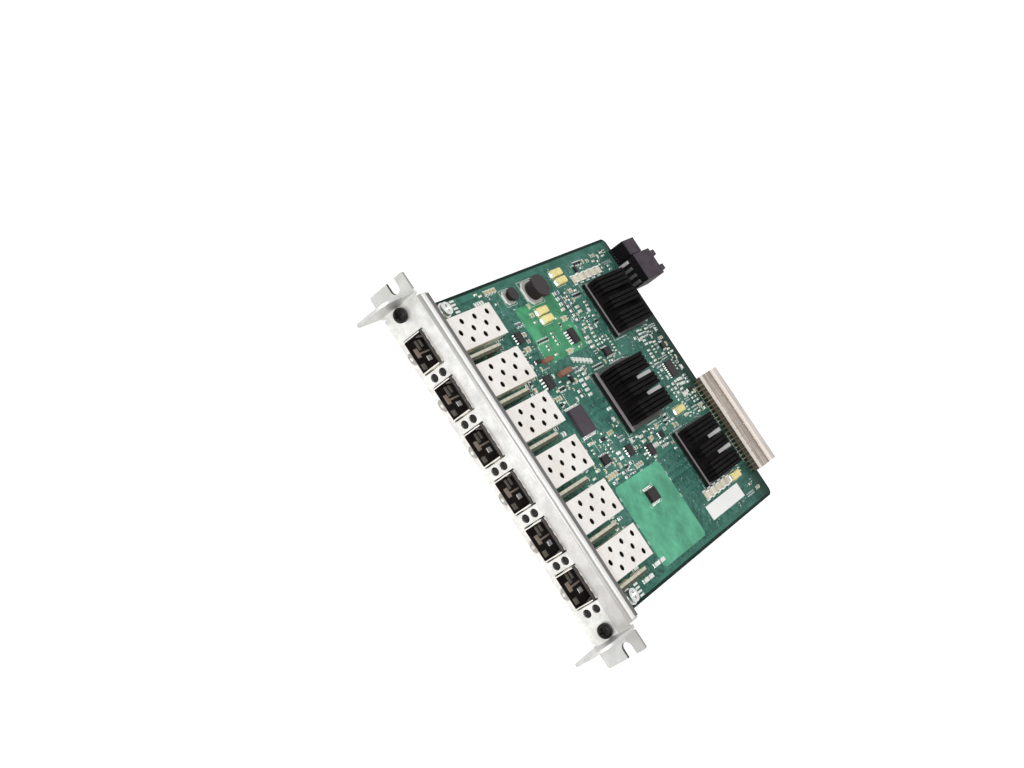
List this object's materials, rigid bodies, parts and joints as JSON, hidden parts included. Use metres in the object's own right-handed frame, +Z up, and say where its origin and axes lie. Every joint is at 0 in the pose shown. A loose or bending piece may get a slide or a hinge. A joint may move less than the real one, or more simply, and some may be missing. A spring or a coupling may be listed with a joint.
{
  "type": "network interface card",
  "caption": "Plug-in network card: folded steel faceplate with pull handles and ears, a row of open transceiver cages with light pipes, and a green board with heat sinks",
  "frame": {"origin": "under the middle of the card's bounding box, on the surface that the card lies on", "axes": "+Y from the faceplate's front to the rear connectors, +Z up from the board, +X to the right as seen from the front"},
  "size_m": [0.1614, 0.2026, 0.0213],
  "materials": {
    "plated_steel": "clear zinc plate, fine grain",
    "gasket_mesh": "woven conductive sleeve",
    "black_steel": "black oxide",
    "spring_steel": "bright zinc plate",
    "board_green": "green solder mask",
    "cage_metal": "tin plate, satin outside and bright inside",
    "socket_black": "moulded",
    "clear_acrylic": "clear moulded, satin",
    "lamp_body": "moulded lens",
    "black_aluminium": "black anodised",
    "chip_epoxy": "moulded epoxy",
    "connector_grey": "moulded",
    "contact_bronze": "bare bronze with tinned feet",
    "connector_black": "moulded",
    "contact_tin": "tin plate",
    "ferrite": "sintered core on a pale base",
    "capacitor_yellow": "moulded epoxy",
    "ceramic_tan": "fired ceramic with tinned ends",
    "filter_brown": "moulded",
    "label_stock": "blank paper"
  },
  "bodies": {
    "card": {"blank_label": "label_stock", "board_screws": "spring_steel", "board_spacers": "spring_steel", "brown_filters": "filter_brown", "ceramic_capacitors": "ceramic_tan", "circuit_board": "board_green", "ear_bracket_left": "plated_steel", "ear_bracket_right": "plated_steel", "emi_gasket": "gasket_mesh", "faceplate": "plated_steel", "filter_inductor": "ferrite", "heat_sink_centre": "black_aluminium", "heat_sink_left": "black_aluminium", "heat_sink_right": "black_aluminium", "indicator_leds": "lamp_body", "large_chip_centre": "chip_epoxy", "large_chip_left": "chip_epoxy", "large_chip_right": "chip_epoxy", "light_pipe_1": "clear_acrylic", "light_pipe_2": "clear_acrylic", "light_pipe_3": "clear_acrylic", "light_pipe_4": "clear_acrylic", "light_pipe_5": "clear_acrylic", "light_pipe_6": "clear_acrylic", "power_connector": "connector_black", "power_contacts": "contact_tin", "power_inductor": "ferrite", "sfp_cage_1": "cage_metal", "sfp_cage_2": "cage_metal", "sfp_cage_3": "cage_metal", "sfp_cage_4": "cage_metal", "sfp_cage_5": "cage_metal", "sfp_cage_6": "cage_metal", "sfp_socket_1": "socket_black", "sfp_socket_2": "socket_black", "sfp_socket_3": "socket_black", "sfp_socket_4": "socket_black", "sfp_socket_5": "socket_black", "sfp_socket_6": "socket_black", "signal_connector": "connector_grey", "signal_contacts": "contact_bronze", "small_chip_leads": "contact_tin", "small_chips": "chip_epoxy", "tantalum_capacitors": "capacitor_yellow"},
    "washer_left": {"retaining_washer_left": "spring_steel"},
    "screw_left": {"captive_screw_left": "black_steel"},
    "washer_right": {"retaining_washer_right": "spring_steel"},
    "screw_right": {"captive_screw_right": "black_steel"}
  },
  "joints": [
    {"name": "screw_float_left", "type": "slide", "parent": "card", "child": "washer_left", "axis": [0, 1, 0], "range_m": [-0.00295, 0]},
    {"name": "screw_turn_left", "type": "hinge", "parent": "washer_left", "child": "screw_left", "pos_m": [-0.0679, -0.07925, 0.0094], "axis": [0, 1, 0], "continuous": true},
    {"name": "screw_float_right", "type": "slide", "parent": "card", "child": "washer_right", "axis": [0, 1, 0], "range_m": [-0.00295, 0]},
    {"name": "screw_turn_right", "type": "hinge", "parent": "washer_right", "child": "screw_right", "pos_m": [0.0679, -0.07925, 0.0094], "axis": [0, 1, 0], "continuous": true}
  ]
}
